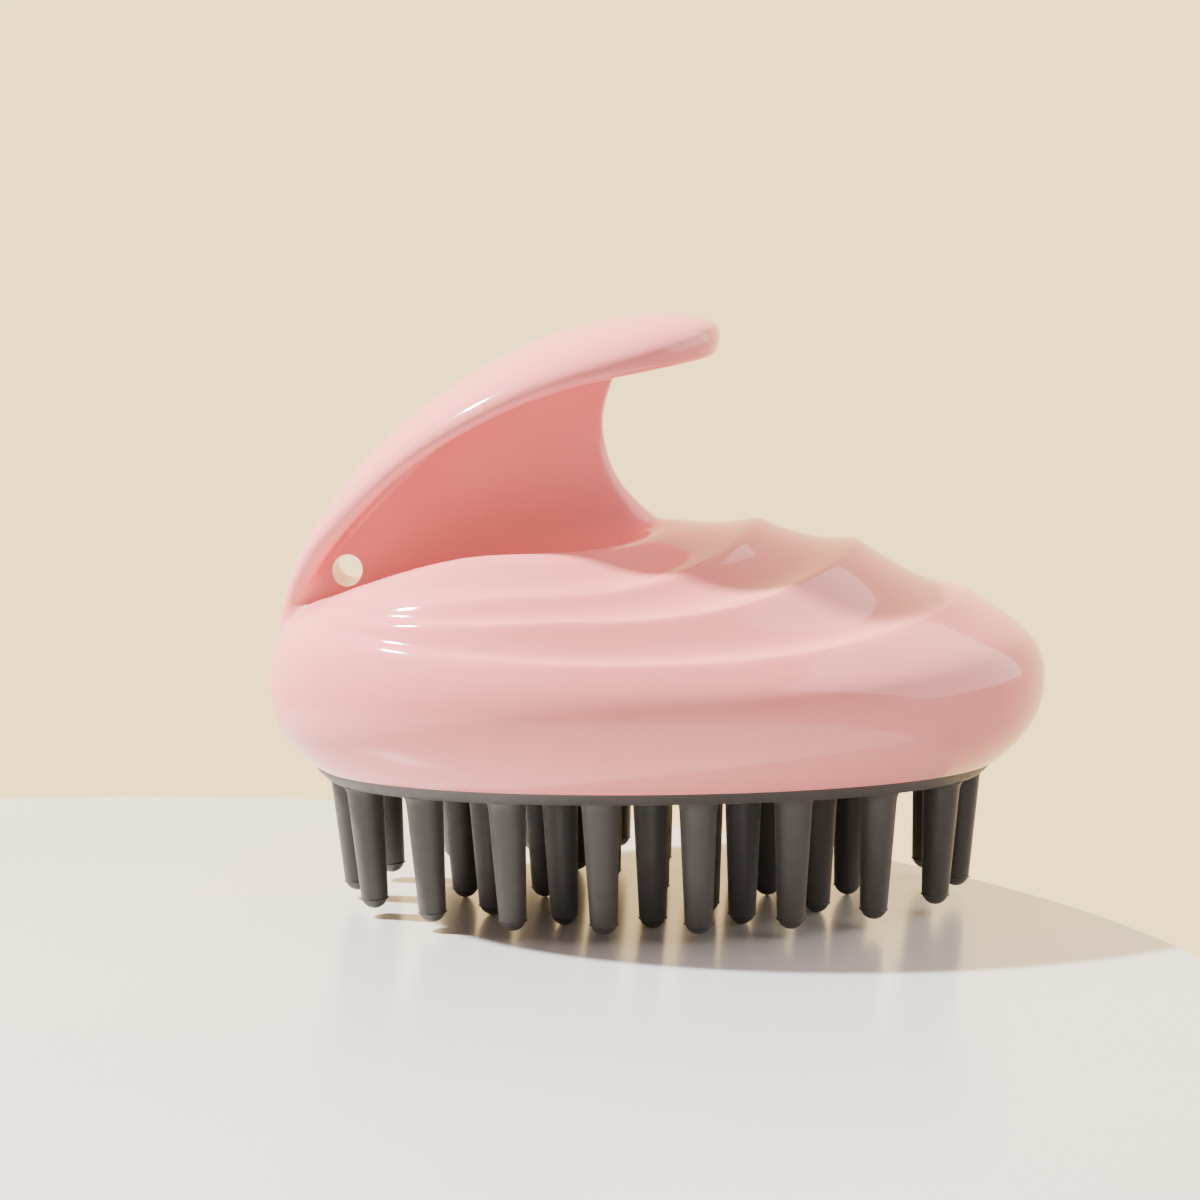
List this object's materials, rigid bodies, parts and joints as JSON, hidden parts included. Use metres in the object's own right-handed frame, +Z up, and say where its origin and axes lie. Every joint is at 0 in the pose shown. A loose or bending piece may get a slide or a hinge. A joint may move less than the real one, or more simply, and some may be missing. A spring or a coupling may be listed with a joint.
{
  "type": "scalp massager brush",
  "caption": "Hand-held scalp massager: pebble-shaped dome with wave ridges, a finned finger hook on top and a pad of flexible silicone bristles underneath.",
  "frame": {"origin": "on the ground plane under the middle of the object, where the bristle tips stand", "axes": "+X towards the open mouth of the finger hook, Y = 0 is the plane of symmetry, +Z up"},
  "size_m": [0.0925, 0.0698, 0.0701],
  "materials": {
    "shell_plastic": "glossy pale pink moulded ABS",
    "carrier_plastic": "plain white moulded plastic, hidden inside",
    "silicone": "matte warm grey silicone"
  },
  "bodies": {
    "head": {"handle_shell": "shell_plastic", "base_plate": "carrier_plastic", "bristle_pad": "silicone"},
    "flex_00": {"bristle_00": "silicone"},
    "flex_01": {"bristle_01": "silicone"},
    "flex_02": {"bristle_02": "silicone"},
    "flex_03": {"bristle_03": "silicone"},
    "flex_04": {"bristle_04": "silicone"},
    "flex_05": {"bristle_05": "silicone"},
    "flex_06": {"bristle_06": "silicone"},
    "flex_07": {"bristle_07": "silicone"},
    "flex_08": {"bristle_08": "silicone"},
    "flex_09": {"bristle_09": "silicone"},
    "flex_10": {"bristle_10": "silicone"},
    "flex_11": {"bristle_11": "silicone"},
    "flex_12": {"bristle_12": "silicone"},
    "flex_13": {"bristle_13": "silicone"},
    "flex_14": {"bristle_14": "silicone"},
    "flex_15": {"bristle_15": "silicone"},
    "flex_16": {"bristle_16": "silicone"},
    "flex_17": {"bristle_17": "silicone"},
    "flex_18": {"bristle_18": "silicone"},
    "flex_19": {"bristle_19": "silicone"},
    "flex_20": {"bristle_20": "silicone"},
    "flex_21": {"bristle_21": "silicone"},
    "flex_22": {"bristle_22": "silicone"},
    "flex_23": {"bristle_23": "silicone"},
    "flex_24": {"bristle_24": "silicone"},
    "flex_25": {"bristle_25": "silicone"},
    "flex_26": {"bristle_26": "silicone"},
    "flex_27": {"bristle_27": "silicone"},
    "flex_28": {"bristle_28": "silicone"},
    "flex_29": {"bristle_29": "silicone"},
    "flex_30": {"bristle_30": "silicone"},
    "flex_31": {"bristle_31": "silicone"},
    "flex_32": {"bristle_32": "silicone"},
    "flex_33": {"bristle_33": "silicone"},
    "flex_34": {"bristle_34": "silicone"},
    "flex_35": {"bristle_35": "silicone"},
    "flex_36": {"bristle_36": "silicone"}
  },
  "joints": [
    {"name": "bend_00", "type": "hinge", "parent": "head", "child": "flex_00", "pos_m": [-0.00041, 0, 0.0163], "axis": [0, 1, 0], "range_deg": [-15, 15], "stiffness_Nm_per_rad": 0.006},
    {"name": "bend_01", "type": "hinge", "parent": "head", "child": "flex_01", "pos_m": [0.01334, 0, 0.01608], "axis": [0, 1, 0], "range_deg": [-15, 15], "stiffness_Nm_per_rad": 0.006},
    {"name": "bend_02", "type": "hinge", "parent": "head", "child": "flex_02", "pos_m": [0.00584, 0.00941, 0.01615], "axis": [0, 1, 0], "range_deg": [-15, 15], "stiffness_Nm_per_rad": 0.006},
    {"name": "bend_03", "type": "hinge", "parent": "head", "child": "flex_03", "pos_m": [-0.00666, 0.00941, 0.01613], "axis": [0, 1, 0], "range_deg": [-15, 15], "stiffness_Nm_per_rad": 0.006},
    {"name": "bend_04", "type": "hinge", "parent": "head", "child": "flex_04", "pos_m": [-0.01416, 0, 0.01605], "axis": [0, 1, 0], "range_deg": [-15, 15], "stiffness_Nm_per_rad": 0.006},
    {"name": "bend_05", "type": "hinge", "parent": "head", "child": "flex_05", "pos_m": [-0.00666, -0.00941, 0.01613], "axis": [0, 1, 0], "range_deg": [-15, 15], "stiffness_Nm_per_rad": 0.006},
    {"name": "bend_06", "type": "hinge", "parent": "head", "child": "flex_06", "pos_m": [0.00584, -0.00941, 0.01615], "axis": [0, 1, 0], "range_deg": [-15, 15], "stiffness_Nm_per_rad": 0.006},
    {"name": "bend_07", "type": "hinge", "parent": "head", "child": "flex_07", "pos_m": [0.02317, 0, 0.01563], "axis": [0, 1, 0], "range_deg": [-15, 15], "stiffness_Nm_per_rad": 0.006},
    {"name": "bend_08", "type": "hinge", "parent": "head", "child": "flex_08", "pos_m": [0.01914, 0.00975, 0.01572], "axis": [0, 1, 0], "range_deg": [-15, 15], "stiffness_Nm_per_rad": 0.006},
    {"name": "bend_09", "type": "hinge", "parent": "head", "child": "flex_09", "pos_m": [0.01017, 0.01558, 0.01587], "axis": [0, 1, 0], "range_deg": [-15, 15], "stiffness_Nm_per_rad": 0.006},
    {"name": "bend_10", "type": "hinge", "parent": "head", "child": "flex_10", "pos_m": [-0.00041, 0.01744, 0.01592], "axis": [0, 1, 0], "range_deg": [-15, 15], "stiffness_Nm_per_rad": 0.006},
    {"name": "bend_11", "type": "hinge", "parent": "head", "child": "flex_11", "pos_m": [-0.01099, 0.01558, 0.01584], "axis": [0, 1, 0], "range_deg": [-15, 15], "stiffness_Nm_per_rad": 0.006},
    {"name": "bend_12", "type": "hinge", "parent": "head", "child": "flex_12", "pos_m": [-0.01996, 0.00975, 0.01568], "axis": [0, 1, 0], "range_deg": [-15, 15], "stiffness_Nm_per_rad": 0.006},
    {"name": "bend_13", "type": "hinge", "parent": "head", "child": "flex_13", "pos_m": [-0.02399, 0, 0.01558], "axis": [0, 1, 0], "range_deg": [-15, 15], "stiffness_Nm_per_rad": 0.006},
    {"name": "bend_14", "type": "hinge", "parent": "head", "child": "flex_14", "pos_m": [-0.01996, -0.00975, 0.01568], "axis": [0, 1, 0], "range_deg": [-15, 15], "stiffness_Nm_per_rad": 0.006},
    {"name": "bend_15", "type": "hinge", "parent": "head", "child": "flex_15", "pos_m": [-0.01099, -0.01558, 0.01584], "axis": [0, 1, 0], "range_deg": [-15, 15], "stiffness_Nm_per_rad": 0.006},
    {"name": "bend_16", "type": "hinge", "parent": "head", "child": "flex_16", "pos_m": [-0.00041, -0.01744, 0.01592], "axis": [0, 1, 0], "range_deg": [-15, 15], "stiffness_Nm_per_rad": 0.006},
    {"name": "bend_17", "type": "hinge", "parent": "head", "child": "flex_17", "pos_m": [0.01017, -0.01558, 0.01587], "axis": [0, 1, 0], "range_deg": [-15, 15], "stiffness_Nm_per_rad": 0.006},
    {"name": "bend_18", "type": "hinge", "parent": "head", "child": "flex_18", "pos_m": [0.01914, -0.00975, 0.01572], "axis": [0, 1, 0], "range_deg": [-15, 15], "stiffness_Nm_per_rad": 0.006},
    {"name": "bend_19", "type": "hinge", "parent": "head", "child": "flex_19", "pos_m": [0.03637, 0, 0.01464], "axis": [0, 1, 0], "range_deg": [-15, 15], "stiffness_Nm_per_rad": 0.006},
    {"name": "bend_20", "type": "hinge", "parent": "head", "child": "flex_20", "pos_m": [0.03323, 0.01035, 0.01478], "axis": [0, 1, 0], "range_deg": [-15, 15], "stiffness_Nm_per_rad": 0.006},
    {"name": "bend_21", "type": "hinge", "parent": "head", "child": "flex_21", "pos_m": [0.02557, 0.0181, 0.01507], "axis": [0, 1, 0], "range_deg": [-15, 15], "stiffness_Nm_per_rad": 0.006},
    {"name": "bend_22", "type": "hinge", "parent": "head", "child": "flex_22", "pos_m": [0.01578, 0.02297, 0.01533], "axis": [0, 1, 0], "range_deg": [-15, 15], "stiffness_Nm_per_rad": 0.006},
    {"name": "bend_23", "type": "hinge", "parent": "head", "child": "flex_23", "pos_m": [0.00507, 0.02529, 0.01547], "axis": [0, 1, 0], "range_deg": [-15, 15], "stiffness_Nm_per_rad": 0.006},
    {"name": "bend_24", "type": "hinge", "parent": "head", "child": "flex_24", "pos_m": [-0.00589, 0.02529, 0.01545], "axis": [0, 1, 0], "range_deg": [-15, 15], "stiffness_Nm_per_rad": 0.006},
    {"name": "bend_25", "type": "hinge", "parent": "head", "child": "flex_25", "pos_m": [-0.0166, 0.02297, 0.01529], "axis": [0, 1, 0], "range_deg": [-15, 15], "stiffness_Nm_per_rad": 0.006},
    {"name": "bend_26", "type": "hinge", "parent": "head", "child": "flex_26", "pos_m": [-0.02639, 0.0181, 0.01501], "axis": [0, 1, 0], "range_deg": [-15, 15], "stiffness_Nm_per_rad": 0.006},
    {"name": "bend_27", "type": "hinge", "parent": "head", "child": "flex_27", "pos_m": [-0.03404, 0.01035, 0.01471], "axis": [0, 1, 0], "range_deg": [-15, 15], "stiffness_Nm_per_rad": 0.006},
    {"name": "bend_28", "type": "hinge", "parent": "head", "child": "flex_28", "pos_m": [-0.03718, 0, 0.01456], "axis": [0, 1, 0], "range_deg": [-15, 15], "stiffness_Nm_per_rad": 0.006},
    {"name": "bend_29", "type": "hinge", "parent": "head", "child": "flex_29", "pos_m": [-0.03404, -0.01035, 0.01471], "axis": [0, 1, 0], "range_deg": [-15, 15], "stiffness_Nm_per_rad": 0.006},
    {"name": "bend_30", "type": "hinge", "parent": "head", "child": "flex_30", "pos_m": [-0.02639, -0.0181, 0.01501], "axis": [0, 1, 0], "range_deg": [-15, 15], "stiffness_Nm_per_rad": 0.006},
    {"name": "bend_31", "type": "hinge", "parent": "head", "child": "flex_31", "pos_m": [-0.0166, -0.02297, 0.01529], "axis": [0, 1, 0], "range_deg": [-15, 15], "stiffness_Nm_per_rad": 0.006},
    {"name": "bend_32", "type": "hinge", "parent": "head", "child": "flex_32", "pos_m": [-0.00589, -0.02529, 0.01545], "axis": [0, 1, 0], "range_deg": [-15, 15], "stiffness_Nm_per_rad": 0.006},
    {"name": "bend_33", "type": "hinge", "parent": "head", "child": "flex_33", "pos_m": [0.00507, -0.02529, 0.01547], "axis": [0, 1, 0], "range_deg": [-15, 15], "stiffness_Nm_per_rad": 0.006},
    {"name": "bend_34", "type": "hinge", "parent": "head", "child": "flex_34", "pos_m": [0.01578, -0.02297, 0.01533], "axis": [0, 1, 0], "range_deg": [-15, 15], "stiffness_Nm_per_rad": 0.006},
    {"name": "bend_35", "type": "hinge", "parent": "head", "child": "flex_35", "pos_m": [0.02557, -0.0181, 0.01507], "axis": [0, 1, 0], "range_deg": [-15, 15], "stiffness_Nm_per_rad": 0.006},
    {"name": "bend_36", "type": "hinge", "parent": "head", "child": "flex_36", "pos_m": [0.03323, -0.01035, 0.01478], "axis": [0, 1, 0], "range_deg": [-15, 15], "stiffness_Nm_per_rad": 0.006}
  ]
}
